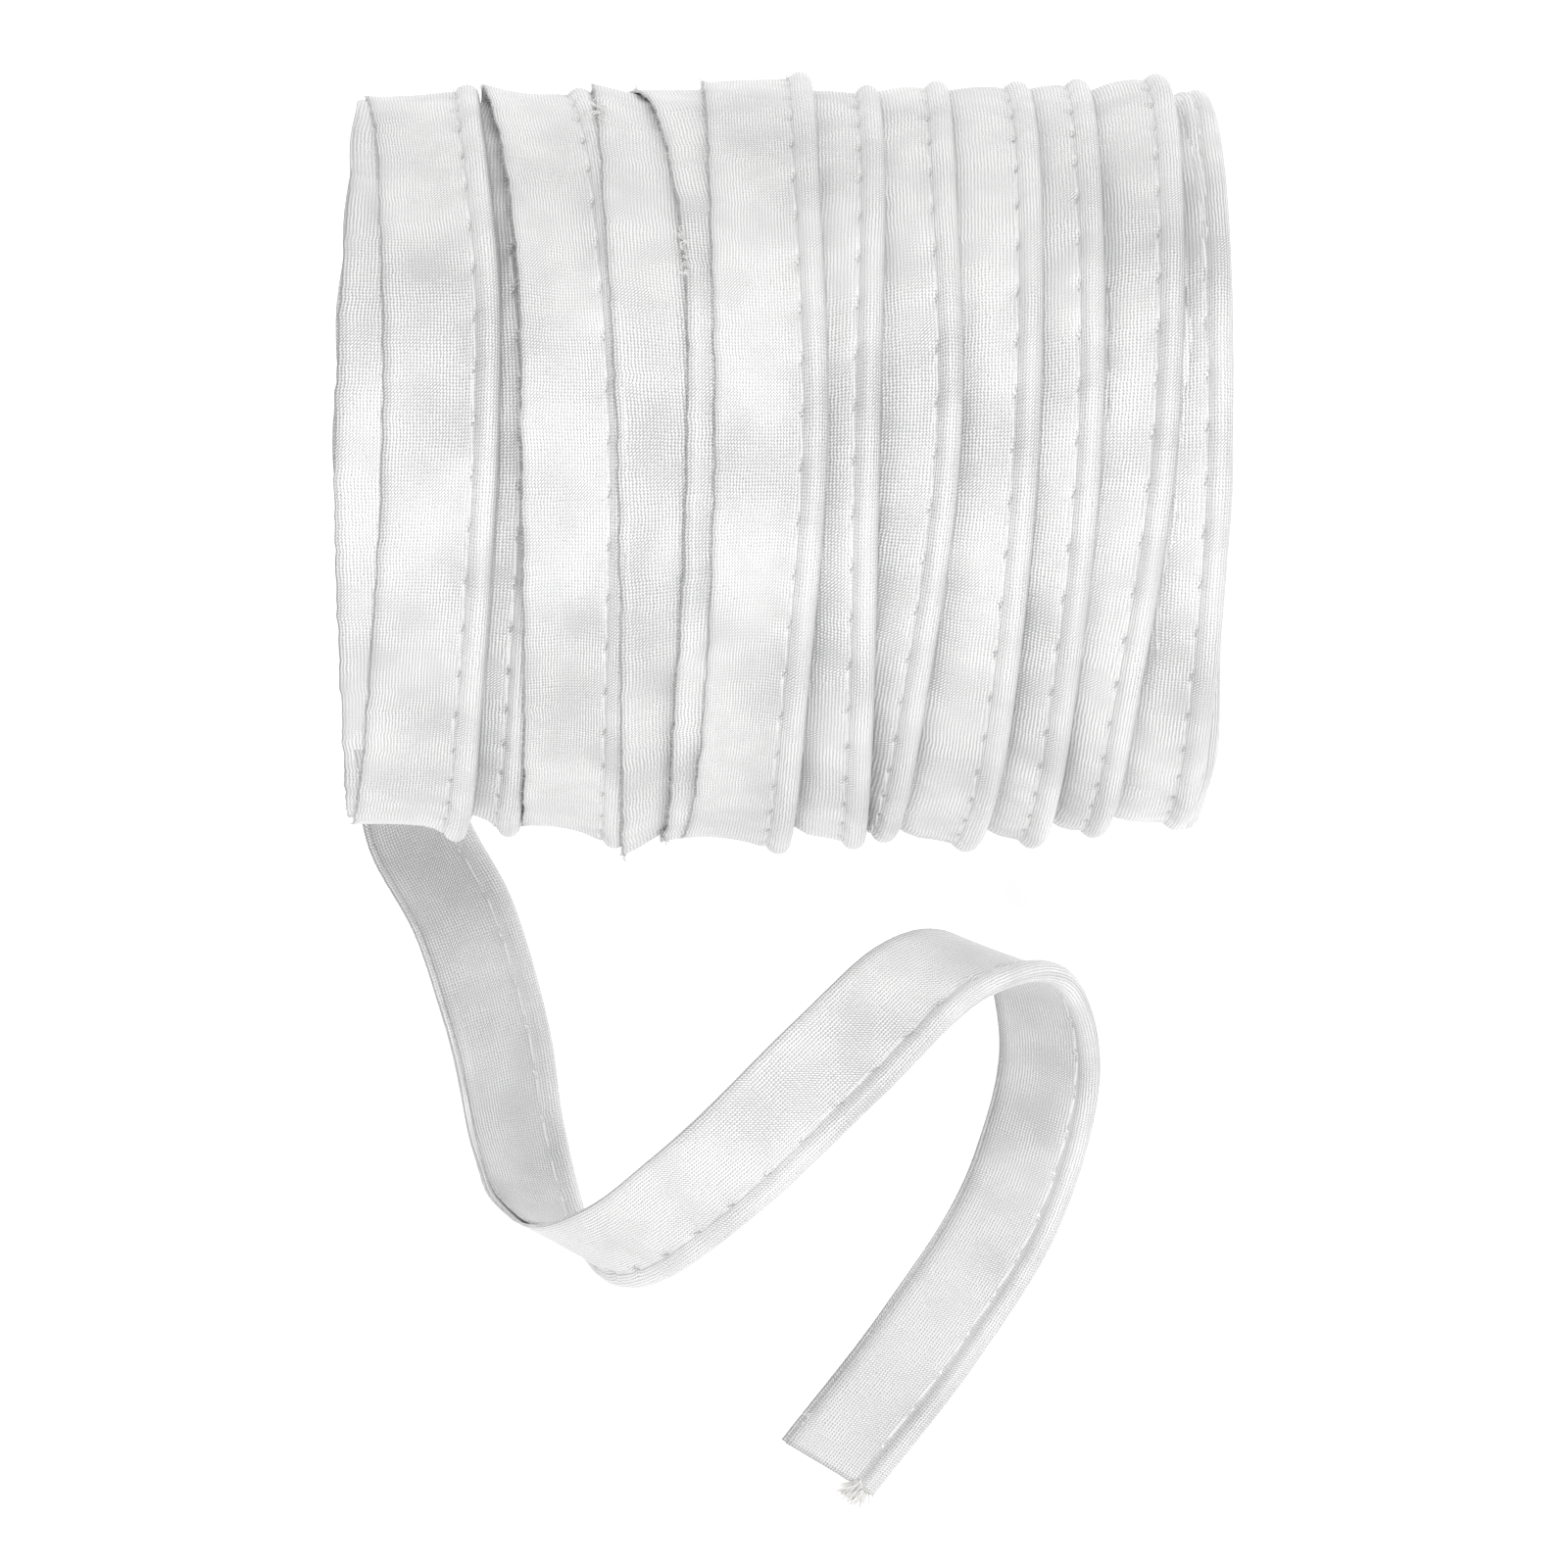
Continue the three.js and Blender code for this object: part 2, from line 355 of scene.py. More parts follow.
# The strip: satin folded over a cord, both raw edges on one side, stitched beside the bead.
strip = {
    "flange": 8.8,          # raw edge to the middle of the bead
    "outerExtra": 0.25,     # the outer layer's raw edge reaches a little further
    "innerShort": 0.2,      # and the inner layer's a little less
    "bead": 1.02,
    "beadShift": 0.2,       # from the solid's bead, which is a little thicker, so that the outer lines agree
    "cloth": 0.24,
    "half": 0.31,           # half the thickness of the two layers together
    "seam": 1.12,           # stitches to the middle of the bead
    "besideSeam": (0.28, 0.75),     # from the stitches to the next two points over the flange
    "groove": 0.10,         # how deep the thread pulls the cloth in
    "wrap": 135,            # degrees from the bead's outermost line to where the cloth leaves it
    "beadSide": (-2.6, -0.5),   # from flange to bead, to the middle of the bead
    "tableGap": 0.03,       # under the roll, from the table to the cloth and between its two layers
    "stitch": 4.4,
    "stepsPerStitch": 6,
}
stepLength = strip["stitch"] / strip["stepsPerStitch"]
outerCount = 10             # points over the outer layer, from its raw edge to the stitches
innerCount = 8


# The skin's points, and back along the cloth's inner side. U runs from raw edge to bead, V out of the roll.
def stripSection(spec):
    half, bead, seam, groove = spec["half"], spec["bead"], spec["seam"], spec["groove"]
    near, far = spec["besideSeam"]
    turns = [math.radians(turn) for turn in range(spec["wrap"], -spec["wrap"] - 1, -spec["wrap"] // 5)]
    outer = np.linspace(-spec["flange"] - spec["outerExtra"], -seam - far, outerCount - 2)
    inner = np.linspace(-seam - far, -spec["flange"] + spec["innerShort"], innerCount - 2)
    u = np.array([*outer, -seam - near, -seam, *(bead * math.cos(turn) for turn in turns),
                  -seam, -seam - near, *inner])
    v = np.array([*[half] * (outerCount - 1), half - groove, *(bead * math.sin(turn) for turn in turns),
                  groove - half, *[-half] * (innerCount - 1)])
    du, dv = np.gradient(u), np.gradient(v)
    size = np.hypot(du, dv)
    inU, inV = dv / size * spec["cloth"], -du / size * spec["cloth"]
    arc = np.concatenate([[0], np.cumsum(np.hypot(np.diff(u), np.diff(v)))])
    arc = arc - arc[np.argmax(u)]
    skin = np.stack([u, v], 1)
    inside = np.stack([u + inU, v + inV], 1)[::-1]
    lifted = (np.abs(u) >= seam - near) & (v < 0)      # the inner layer, and the bead's side beside it
    gap, cloth = spec["tableGap"], spec["cloth"]
    skinFloor = np.where(lifted, 2 * gap + 2 * cloth, gap)
    insideFloor = np.where(lifted, 2 * gap + cloth, gap + cloth)[::-1]
    return (np.concatenate([skin, inside]), np.concatenate([arc, arc[::-1]]),
            np.concatenate([skinFloor, insideFloor]))


stripShape, stripArc, stripFloor = stripSection(strip)
stripU, stripV = stripShape[:, 0][None, :], stripShape[:, 1][None, :]
outerSeam = outerCount - 1                              # these three are columns of the section
innerSeam = len(stripShape) // 2 - innerCount
lowerEdge = len(stripShape) // 2 - 1


def closedStrip(points, along):
    rows, columns = points.shape[:2]
    k = np.arange(columns // 2 - 1)
    cap = np.stack([k, k + 1, columns - 2 - k, columns - 1 - k], 1)
    faces = np.concatenate([gridFaces(rows, columns), cap, cap[:, ::-1] + (rows - 1) * columns])
    return points.reshape(-1, 3), faces, gridMap(stripArc, along)


# What each stitch does to the strip: it squeezes the seam at its holes and puckers the cloth beside it
pull = {
    "holeSpread": 0.12,     # square of the hole's length along the seam
    "holeReach": 0.45,
    "holeShift": 0.1,
    "squeeze": 0.75,        # share of the thickness
    "sink": 0.1,
    "pucker": 0.05,
    "puckerAt": 2.4,        # from the middle of the bead
    "puckerReach": 1.3,
}


def stitchPull(along, u, v):
    atHole = np.exp(-((along + stepLength / 2) % strip["stitch"] - stepLength / 2) ** 2 / pull["holeSpread"])
    atHole = atHole[:, None]
    besideSeam = np.exp(-((u + strip["seam"] + pull["holeShift"]) / pull["holeReach"]) ** 2)
    swing = np.cos(2 * np.pi * along / strip["stitch"])[:, None]
    pucker = pull["pucker"] * swing * np.exp(-((u + pull["puckerAt"]) / pull["puckerReach"]) ** 2)
    squeezed = v * (1 - pull["squeeze"] * atHole * besideSeam)
    return pucker, squeezed - pull["sink"] * besideSeam * atHole * np.sign(v)


# The roll: X runs along its axis. 0 degrees is the side of the loose end, 90 the top, 180 the far side.
roll = {
    "radius": 32.3,
    "axisHeight": 31.8,
    "hole": 11.4,
    "start": -80,
    "leave": 284,           # where the last turn parts from the roll
    "tuckDepth": 1.35,
    "tuckReach": (0.3, 3.4),
}
nowhere = -90               # along X, for a raw edge that doesn't lie over a turn

# Each turn has values at even steps from 0 to 180 degrees: "bead" and "raw" are places along X, "edge",
# "seam" and "crest" heights over the roll's radius, "sag" the dip between edge and seam, and "tuck" how far
# the raw edge goes under the next turn's bead. A single value is the same all round.
rightTurns = [
    {"bead": (34.2, 34.8, 35.7, 35.9, 35.7),
     "edge": (-0.4, 0.1, -0.4), "seam": (-0.5, -0.2, -0.3), "crest": (0.2, 0.9, 0.1),
     "sag": -0.1, "tuck": (0.8, 0.7, 0.05)},
    {"bead": (27.0, 28.3, 31.2, 32.2, 32.2),
     "edge": (0.0, 0.0, -0.2), "seam": (0.2, 0.0, 1.3), "crest": (0.9, 1.2, 1.57),
     "sag": (-0.1, -0.1, 0), "tuck": (1, 0.9, 0.45)},
    {"bead": (21.6, 23.0, 25.0, 25.4, 25.3),
     "edge": (0.6, 0.0, -0.1), "seam": (0.8, 0.0, 0.75), "crest": (1.8, 1.1, 1.1),
     "sag": (-0.1, -0.1, 0), "tuck": (1, 0.9, 0.2)},
    {"bead": (15.8, 17.9, 19.8, 20.4, 20.0),
     "edge": (0.8, 0.0, 0.0), "seam": (1.1, 0.0, 0.45), "crest": (2.1, 1.1, 0.9),
     "sag": (-0.1, -0.1, 0), "tuck": (1, 0.9, 0.15)},
    {"bead": (8.6, 10.5, 13.4, 13.2, 13.1),
     "edge": (0.3, 0.0, -0.2), "seam": (0.4, 0.0, 0.5), "crest": (1.3, 1.0, 0.96),
     "sag": (-0.1, -0.1, 0), "tuck": (1, 0.9, 0.2)},
    {"bead": (5.9, 6.3, 6.7, 7.3, 7.0),
     "edge": (0.7, 0.0, 0.5), "seam": (0.9, 0.1, -0.1), "crest": (1.9, 1.1, 0.55),
     "sag": (-0.1, -0.1, 0), "tuck": (1, 0.9, 0)},
    {"bead": (-0.7, 0.6, 2.4, 1.7, 1.1), "raw": (-8.7, -6.6, -5.5, -6.1, -7.0),
     "edge": (0.9, 0.6, 0.77), "seam": (1.7, 0.1, 1.1), "crest": (2.3, 1.2, 1.75),
     "sag": (-0.4, -0.3, 0), "tuck": 0},
    {"bead": (-29.1, -27.8, -26.6, -25.4, -24.6, -24.65, -25.9, -27.2, -28.0),
     "raw": (-37.6, -34.8, -32.8, -33.8, -36.5),
     "edge": (-0.3, 0.0, -0.4), "seam": (-0.1, -0.1, 0.0), "crest": (1.2, 1.0, 0.6),
     "sag": (-0.1, -0.1, -0.2), "tuck": 0},
]
leftTurns = [
    {"bead": (-28.9, -28.3, -27.9, -27.6, -28.0), "raw": (-37.9, -36.9, -36.7, -36.2, -36.3),
     "edge": (-0.95, -0.15, -1.0), "seam": (-1.2, -0.55, -1.1), "crest": (-0.9, -0.9, -0.9),
     "sag": 0, "tuck": 0},
    {"bead": (-24.4, -22.4, -20.8, -22.1, -22.1),
     "edge": (-1.9, -2.1, -2.1, -1.8, -1.2), "seam": (-0.9, -1.9, -2.1, -1.6, -0.9),
     "crest": (0.8, -0.6, -1.0, -0.9, -0.5), "sag": 0, "tuck": 0},
    {"bead": (-15.1, -14.1, -13.5, -15.4, -18.4),
     "raw": (-22.8, -22.1, -21.6, -21.35, -21.35, -21.7, -23.1, -25.0, -26.3),
     "edge": (-0.2, 0.6, 0.5), "seam": (1.0, -0.1, -0.15), "crest": (1.8, 0.8, 0.3),
     "sag": (-0.45, -0.3, -0.4), "tuck": 0},
    {"bead": (-5.2, -4.6, -4.7, -6.3, -7.8), "raw": (-13.9, -13.4, -13.5, -15.1, -16.6),
     "edge": (2.3, 0.9, 0.7), "seam": (-2.2, -1.0, -1.3), "crest": (-1.4, -0.3, -0.8),
     "sag": -0.1, "tuck": 0},
    {"bead": (-1.7, -0.3, 1.0, -0.1, -3.8),
     "raw": (-10.4, -9.6, -9.0, -8.2, -7.75, -7.85, -9.15, -11.1, -13.4),
     "edge": (1.1, 0.5, 0.1), "seam": (-0.8, -1.2, 0.2), "crest": (0.0, -0.4, -0.1),
     "sag": 0, "tuck": 0},
]

# The raw edge that lies over each of the lower turns, for the painted shade beside it
for row, over in zip(leftTurns[1:], (*leftTurns[2:], rightTurns[6])):
    row["cover"] = over["raw"]


def rowValues(row, key):
    if key == "raw" and key not in row:
        return tuple(bead - strip["flange"] for bead in row["bead"])
    value = row.get(key, nowhere)
    return value if isinstance(value, tuple) else (value, value)


def throughValues(values, angle):
    values = np.asarray(values, dtype=float)
    count = len(values)
    place = np.clip(angle / 180 * (count - 1), 0, count - 1.0001)
    i = place.astype(int)
    return curveBetween([values[np.clip(i + k, 0, count - 1)] for k in (-1, 0, 1, 2)], place - i)


# A value all along a chain of turns: through a row's values over the top, and smoothly below to the next row
def chainValue(rows, key, angle):
    out = np.zeros_like(angle)
    turn = np.floor(angle / 360).astype(int)
    local = angle - 360 * turn
    for k in range(-1, len(rows)):
        here, there = rowValues(rows[max(k, 0)], key), rowValues(rows[min(k + 1, len(rows) - 1)], key)
        upper = (turn == k) & (local <= 180)
        out[upper] = throughValues(here, local[upper])
        lower = (turn == k) & (local > 180)
        t = (local[lower] - 180) / 180
        leaves = (here[-1] - here[-2]) * (len(here) - 1)
        arrives = (there[1] - there[0]) * (len(there) - 1)
        out[lower] = ((2 * t**3 - 3 * t**2 + 1) * here[-1] + (t**3 - 2 * t**2 + t) * leaves
                      + (3 * t**2 - 2 * t**3) * there[0] + (t**3 - t**2) * arrives)
    return out


# Small dents and wrinkles: place along X and round the roll, half-sizes, depth and slant
dentColumns = ("chain", "turn", "x", "angle", "long", "wide", "depth", "slant")
dentRows = [
    ("outer", 7, -30.8, 137.5, 2.6, 0.28, 0.10, 1.0),
    ("outer", 3, 14.6, 50.5, 2.2, 0.5, 0.22, -0.75),
    ("outer", 1, 27.6, 89.0, 1.9, 0.7, 0.32, 0.25),
    ("outer", 7, -31.2, 96.0, 5.0, 1.5, 0.22, -0.5),
    ("outer", 6, -2.3, 92.0, 5.0, 1.6, 0.20, 0.6),
    ("outer", 5, 4.2, 112.0, 4.0, 0.8, 0.15, 0.2),
    ("outer", 3, 15.4, 98.0, 4.5, 1.2, 0.2, 0.5),
    ("lower", 2, -19.0, 110.0, 6.0, 1.4, 0.2, 0.35),
    ("lower", 2, -17.5, 60.0, 5.0, 1.3, 0.2, -0.4),
    ("lower", 3, -10.4, 75.0, 5.0, 1.5, 0.22, 0.45),
]


def dentDepth(chain, x, angle):
    total = np.zeros_like(x)
    for dent in (dict(zip(dentColumns, row)) for row in dentRows):
        if dent["chain"] != chain:
            continue
        run = np.radians(angle - 360 * dent["turn"] - dent["angle"]) * roll["radius"]
        off = x - dent["x"]
        lean = math.atan(dent["slant"])
        t = run * math.cos(lean) + off * math.sin(lean)
        n = off * math.cos(lean) - run * math.sin(lean)
        total += dent["depth"] * np.exp(-(t / dent["long"]) ** 2 - (n / dent["wide"]) ** 2)
    return total


# Painted shade where turns touch: deep down, beside a raw edge that lies over this turn, beside the next bead
contact = {
    "deep": (0.9, 2.1),
    "deepShade": 0.55,
    "rawAt": 0.1,
    "rawReach": 0.4,
    "rawShade": 0.52,
    "beadAt": 1.3,
    "beadReach": 0.7,
    "beadShade": 0.5,
}


def contactShade(depth, x, cover, neighbour, tucks):
    shade = smoothStep(depth, *contact["deep"]) * contact["deepShade"]
    besideRaw = np.exp(-((x - cover + contact["rawAt"]) / contact["rawReach"]) ** 2)
    shade = np.maximum(shade, contact["rawShade"] * besideRaw)
    besideBead = np.exp(-((x - neighbour - contact["beadAt"]) / contact["beadReach"]) ** 2)
    return np.maximum(shade, contact["beadShade"] * besideBead * tucks)


def woundChain(name, chain, rows, turns, seed):
    perDegree = roll["radius"] * math.pi / 180
    first, last = (round((angle - roll["start"]) * perDegree / stepLength) for angle in turns)
    along = np.arange(first, last + 1) * stepLength
    angle = roll["start"] + along / perDegree
    edge, seam, crest, sag, tuck, cover = (chainValue(rows, key, angle)[:, None] for key in
                                           ("edge", "seam", "crest", "sag", "tuck", "cover"))
    bead = (chainValue(rows, "bead", angle) + strip["beadShift"])[:, None]
    neighbour = chainValue(rows, "bead", angle + 360)[:, None]
    raw = (chainValue(rows, "raw", angle) + waves(along, seed + 20, "rawEdge"))[:, None]

    # Across the strip: the bead keeps its round form, and the flange stretches to the raw edge's place
    u = stripU
    stretch = (bead - raw) / strip["flange"]
    toSeam = strip["flange"] - strip["seam"]
    flangeU = -strip["seam"] + (u + strip["seam"]) * (stretch * strip["flange"] - strip["seam"]) / toSeam
    x = bead + np.where(u < -strip["seam"], flangeU, u)
    w = np.clip((x - raw) / (bead - strip["seam"] - raw), 0, 1)     # 0 at the raw edge, 1 at the stitches

    # Height over the roll's radius
    flange = edge * (1 - w) + seam * w + sag * 4 * w * (1 - w) - strip["half"]
    tucked = 1 - smoothStep(x - neighbour, *roll["tuckReach"])
    flange -= roll["tuckDepth"] * (tuck * tucked)
    nearEdge = np.clip(1 - w, 0, 1)
    flange += waves(along, seed, "nearRawEdge")[:, None] * nearEdge * (1 - nearEdge * 0.4)
    flange += waves(along, seed + 9, "middle")[:, None] * w * (1 - w) * 4
    flange -= dentDepth(chain, x, angle[:, None])
    onBead = smoothStep(u, *strip["beadSide"])
    level = flange * (1 - onBead) + (crest - strip["bead"]) * onBead
    pucker, v = stitchPull(along, u, stripV)
    level = level - pucker

    radius = roll["radius"] + level + v
    turn = np.radians(angle)[:, None]
    y, z = -radius * np.cos(turn), roll["axisHeight"] + radius * np.sin(turn)
    points = np.stack([x, y, np.maximum(z, stripFloor)], -1)
    outward = np.stack([0 * turn[:, 0], -np.cos(turn[:, 0]), np.sin(turn[:, 0])], 1)
    line = {"along": along, "angle": angle, "seam": points[:, outerSeam], "edge": points[:, 0],
            "outward": outward, "across": np.broadcast_to([1.0, 0, 0], outward.shape)}
    # Painted shade in the recesses: deep down, beside the raw edge over this turn and beside the next bead
    shade = contactShade(-(level + v), x, cover, neighbour, tuck > 0.1)
    points, faces, uv = closedStrip(points, along)
    return addPiece(name, points, faces, satin, uv, shade), line


# What is made of each chain, in degrees along it. The outer chain is split under the roll.
spans = {
    "right": (roll["start"], 1350),
    "middle": (1350, 2520 + roll["leave"]),
    "lower": (roll["start"], 1700),
}
rightWound, rightLine = woundChain("woundTurnsRight", "outer", rightTurns, spans["right"], 11)
middleWound, middleLine = woundChain("woundTurnsMiddle", "outer", rightTurns, spans["middle"], 11)
lowerWound, lowerLine = woundChain("woundTurnsLower", "lower", leftTurns, spans["lower"], 31)
print("wound turns made")

# Inside of the roll and its ends: each section is a list of places along X and out from the layer
ends = {
    "right": 35.3,          # middle of the beads
    "left": -36.6,          # raw edges
    "layerStep": 1.9,
    "first": 12.8,
    "last": 31.2,
    "lead": 300,            # degrees of plain ring before the spiral grows
    "follow": 360,          # and after it has grown
    "lowest": 0.6,
    "beadRadius": 1.15,
}
degreeStep = 3.0


def roundBead(radius):
    turns = [math.radians(turn) for turn in range(150, -151, -30)]
    return [(radius * math.cos(turn), radius * math.sin(turn)) for turn in turns]


beadSection = [(-4.5, 0.3), (-2.6, 0.3), (-1.3, 0.35), *roundBead(ends["beadRadius"]),
               (-1.3, -0.35), (-2.6, -0.3), (-4.5, -0.3)]
rawSection = [(4.5, 0.36), (1.5, 0.36), (0.0, 0.42), (0.0, 0.2), (1.5, 0.08), (1.5, -0.08),
              (0.35, -0.2), (0.35, -0.42), (1.5, -0.36), (4.5, -0.36)]
rollBody = {
    "count": 120,
    "section": [(-35.4, roll["hole"]), (-35.2, 20), (-35.0, 30.2), (-31.5, 30.2), (-29.5, 28.8), (30.0, 28.8),
                (31.5, 29.8), (33.6, 29.8), (33.6, 20), (33.6, roll["hole"])],
    "clothPerRadian": 25,
}
insideOfHole = {
    "pitch": 8.3,
    "turns": 8.2,
    "start": -30.0,
    "limits": (-36.4, 35.4),
    "radius": 12,
    "lift": 0.9,            # from the hole
    "section": [(-8.6, 0.3), (-1.4, 0.3), (-1.0, 0.6), (0, 1.0), (0.9, 0.6), (1.1, 0), (0.9, -0.6),
                (0, -0.85), (-1.0, -0.6), (-1.4, -0.3), (-5.0, -0.3), (-8.6, -0.3)],
}


# Places on the cloth's outer face for the plain rounds, clear of bead, stitches and raw edges
plainCloth = {
    "from": -3.7,
    "scale": 0.9,
}


def fromMiddle(arc):
    return plainCloth["from"] - np.abs(arc - (arc[0] + arc[-1]) / 2) * plainCloth["scale"]


def arcOf(section):
    return np.concatenate([[0], np.cumsum(np.hypot(*np.diff(section, axis=0).T))])


def addRound(name, x, radius, turn, faces, across, along):
    z = np.maximum(roll["axisHeight"] + radius * np.sin(turn), ends["lowest"])
    points = np.stack([np.broadcast_to(x, radius.shape), -radius * np.cos(turn), z], -1)
    return addPiece(name, points.reshape(-1, 3), faces, satin, gridMap(fromMiddle(across), along))


def coreBody(spec):
    turn = np.linspace(0, 2 * np.pi, spec["count"], endpoint=False)
    x, reach = np.array(spec["section"]).T
    radius = np.broadcast_to(reach, (len(turn), len(reach)))
    faces = gridFaces(len(turn), len(reach), closedRows=True)
    faces = faces[:, [0, 3, 2, 1]]      # this section runs the other way round
    return addRound("rollBody", x, radius, turn[:, None], faces, reach, turn * spec["clothPerRadian"])


def spiralEnd(name, side, section, ripple, seed):
    section = np.array(section)
    growth = (ends["last"] - ends["first"]) / ends["layerStep"]
    angle = np.arange(0, 360 * growth + ends["lead"] + ends["follow"], degreeStep)
    spiral = ends["first"] + ends["layerStep"] * (angle - ends["lead"]) / 360
    middle = np.clip(spiral, ends["first"], ends["last"])
    along = np.cumsum(np.radians(degreeStep) * middle)
    x = (side + waves(along, seed, ripple))[:, None] + section[:, 0]
    radius = middle[:, None] + section[:, 1] + waves(along, seed + 3, "endLayers")[:, None]
    faces = gridFaces(len(along), len(section))
    return addRound(name, x, radius, np.radians(angle)[:, None], faces, arcOf(section), along)


def innerTurns(spec):
    section = np.array(spec["section"])
    angle = np.arange(0, 360 * spec["turns"], degreeStep)
    along = np.radians(angle) * spec["radius"]
    x = np.clip(spec["start"] + spec["pitch"] * angle[:, None] / 360 + section[:, 0], *spec["limits"])
    radius = roll["hole"] + spec["lift"] + section[:, 1] + waves(along, 71, "inside")[:, None]
    faces = gridFaces(len(along), len(section))
    return addRound("innerTurns", x, radius, np.radians(angle)[:, None], faces, arcOf(section), along)


core = coreBody(rollBody)
rightEnd = spiralEnd("endTurnsRight", ends["right"], beadSection, "endBeads", 51)
leftEnd = spiralEnd("endTurnsLeft", ends["left"], rawSection, "endRawEdges", 61)
inner = innerTurns(insideOfHole)
for piece in (rightWound, middleWound, lowerWound, core, rightEnd, leftEnd, inner):
    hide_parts("winding")
print("roll body and ends made")

# Loose end: the middle of the bead and the raw edge at each place along it, close to the solid's.
tailRoute = {
    "bead": [(-28.4, -8.6, 1.25), (-30.6, -19.5, 1.25), (-31.2, -30.0, 1.25), (-26.4, -39.9, 1.25),
             (-23.1, -51.2, 1.4), (-21.4, -61.0, 4.0), (-18.0, -70.5, 13.5), (-12.5, -72.0, 26.5),
             (-3.0, -65.0, 35.0), (7.5, -55.0, 36.0), (17.0, -46.5, 30.0), (25.0, -46.0, 18.0),
             (28.0, -55.5, 7.5), (24.5, -69.5, 2.2), (16.5, -82.5, 1.25), (6.9, -94.8, 1.25)],
    "raw": [(-37.2, -8.9, 0.5), (-39.4, -20.5, 2.6), (-38.9, -33.4, 4.2), (-34.3, -42.6, 4.6),
            (-31.0, -53.5, 5.6), (-28.8, -61.5, 9.0), (-25.5, -67.0, 17.5), (-18.5, -66.5, 29.5),
            (-9.0, -59.0, 36.5), (1.0, -48.5, 35.5), (10.5, -42.0, 26.5), (17.5, -44.0, 14.0),
            (20.0, -53.5, 4.5), (17.0, -66.0, 0.6), (9.5, -78.0, 0.5), (-0.7, -90.3, 0.5)],
}
parting = {
    "all": 0.10,            # between the layers at the raw edge
    "atCut": 0.55,          # and more towards the cut end
    "from": 22,             # before the cut end
    "curve": 1.5,
}


def curveThrough(points, place):
    points = np.asarray(points, dtype=float)
    padded = np.concatenate([[2 * points[0] - points[1]], points, [2 * points[-1] - points[-2]]])
    place = np.clip(place, 0, len(points) - 1.00001)
    i = place.astype(int)
    return curveBetween([padded[i + k] for k in range(4)], (place - i)[:, None])


def tailFrames():
    fine = np.linspace(0, len(tailRoute["bead"]) - 1, 4000)
    line = curveThrough(tailRoute["bead"], fine)
    length = np.concatenate([[0], np.cumsum(np.linalg.norm(np.diff(line, axis=0), axis=1))])
    along = np.arange(int(length[-1] / stepLength) + 1) * stepLength
    place = np.interp(along, length, fine)
    centre = curveThrough(tailRoute["bead"], place)
    across = unit(centre - curveThrough(tailRoute["raw"], place))
    centre = centre + across * strip["beadShift"]
    outward = -unit(np.cross(unit(np.gradient(centre, axis=0)), across))
    return {"along": along, "centre": centre, "across": across, "outward": outward, "length": length[-1]}


def looseEnd(shape):
    along, u = shape["along"], stripU
    w = np.clip((-u - strip["seam"]) / (strip["flange"] - strip["seam"]), 0, 1)     # 1 at the raw edge
    nearCut = smoothStep(along, shape["length"] - parting["from"], shape["length"])
    apart = (parting["all"] + parting["atCut"] * nearCut)[:, None]
    pucker, v = stitchPull(along, u, stripV)
    lift = np.minimum(np.sign(stripV), 0) * apart * w**parting["curve"] - pucker
    lift = lift + waves(along, 91, "looseEnd")[:, None] * w
    v = v + lift
    points = (shape["centre"][:, None] + shape["across"][:, None] * u[..., None]
              + shape["outward"][:, None] * v[..., None])
    points[..., 2] = np.maximum(points[..., 2], stripFloor)
    line = {"along": along, "seam": points[:, outerSeam], "underSeam": points[:, innerSeam],
            "edge": points[:, 0], "lowerEdge": points[:, lowerEdge],
            "outward": shape["outward"], "across": shape["across"]}
    points, faces, uv = closedStrip(points, along)
    return addPiece("looseEnd", points, faces, satin, uv), line


tailShape = tailFrames()
flatSize = (np.ptp(stripArc), tailShape["length"])
tail, tailLine = looseEnd(tailShape)
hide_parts("tail")
flatSize[0] * mm
flatSize[1] * mm
print("loose end made, cut width and length in mm:", [round(float(side), 1) for side in flatSize])


# Thin round yarns: threads, frays and the filler cord
def addTube(points, faces, route, radii, sides):
    route = np.asarray(route, dtype=float)
    forward = unit(np.gradient(route, axis=0))
    helper = np.array([0.0, 0.0, 1.0]) if abs(forward[0][2]) < 0.8 else np.array([1.0, 0.0, 0.0])
    first = len(points)
    for k, place in enumerate(route):
        sideways = unit(np.cross(forward[k], helper))
        up = np.cross(sideways, forward[k])
        for j in range(sides):
            turn = 2 * math.pi * j / sides
            points.append(place + (sideways * math.cos(turn) + up * math.sin(turn)) * radii[k])
    for k in range(len(route) - 1):
        for j in range(sides):
            a, b = first + k * sides + j, first + k * sides + (j + 1) % sides
            faces.append((a, b, b + sides, a + sides))
    faces.append(tuple(first + j for j in reversed(range(sides))))
    last = first + (len(route) - 1) * sides
    faces.append(tuple(last + j for j in range(sides)))


def onLine(line, key, place):
    return np.stack([np.interp(place, line["along"], line[key][:, k]) for k in range(3)], -1)


stitching = {
    "radius": 0.10,
    "sides": 6,
    "points": 7,            # along each stitch
    "start": 0.25,          # after the stitch hole
    "visible": 4.0,         # of each stitch, before it goes back through the cloth
    "rise": 0.02,           # middle of the thread over the groove
    "dive": 0.18,
    "thinner": 0.35,        # share of the radius, at both ends
    "slant": 0.09,
    "aside": -0.12,         # the thread lies on the flange side of its crease
    "wander": 0.05,
}


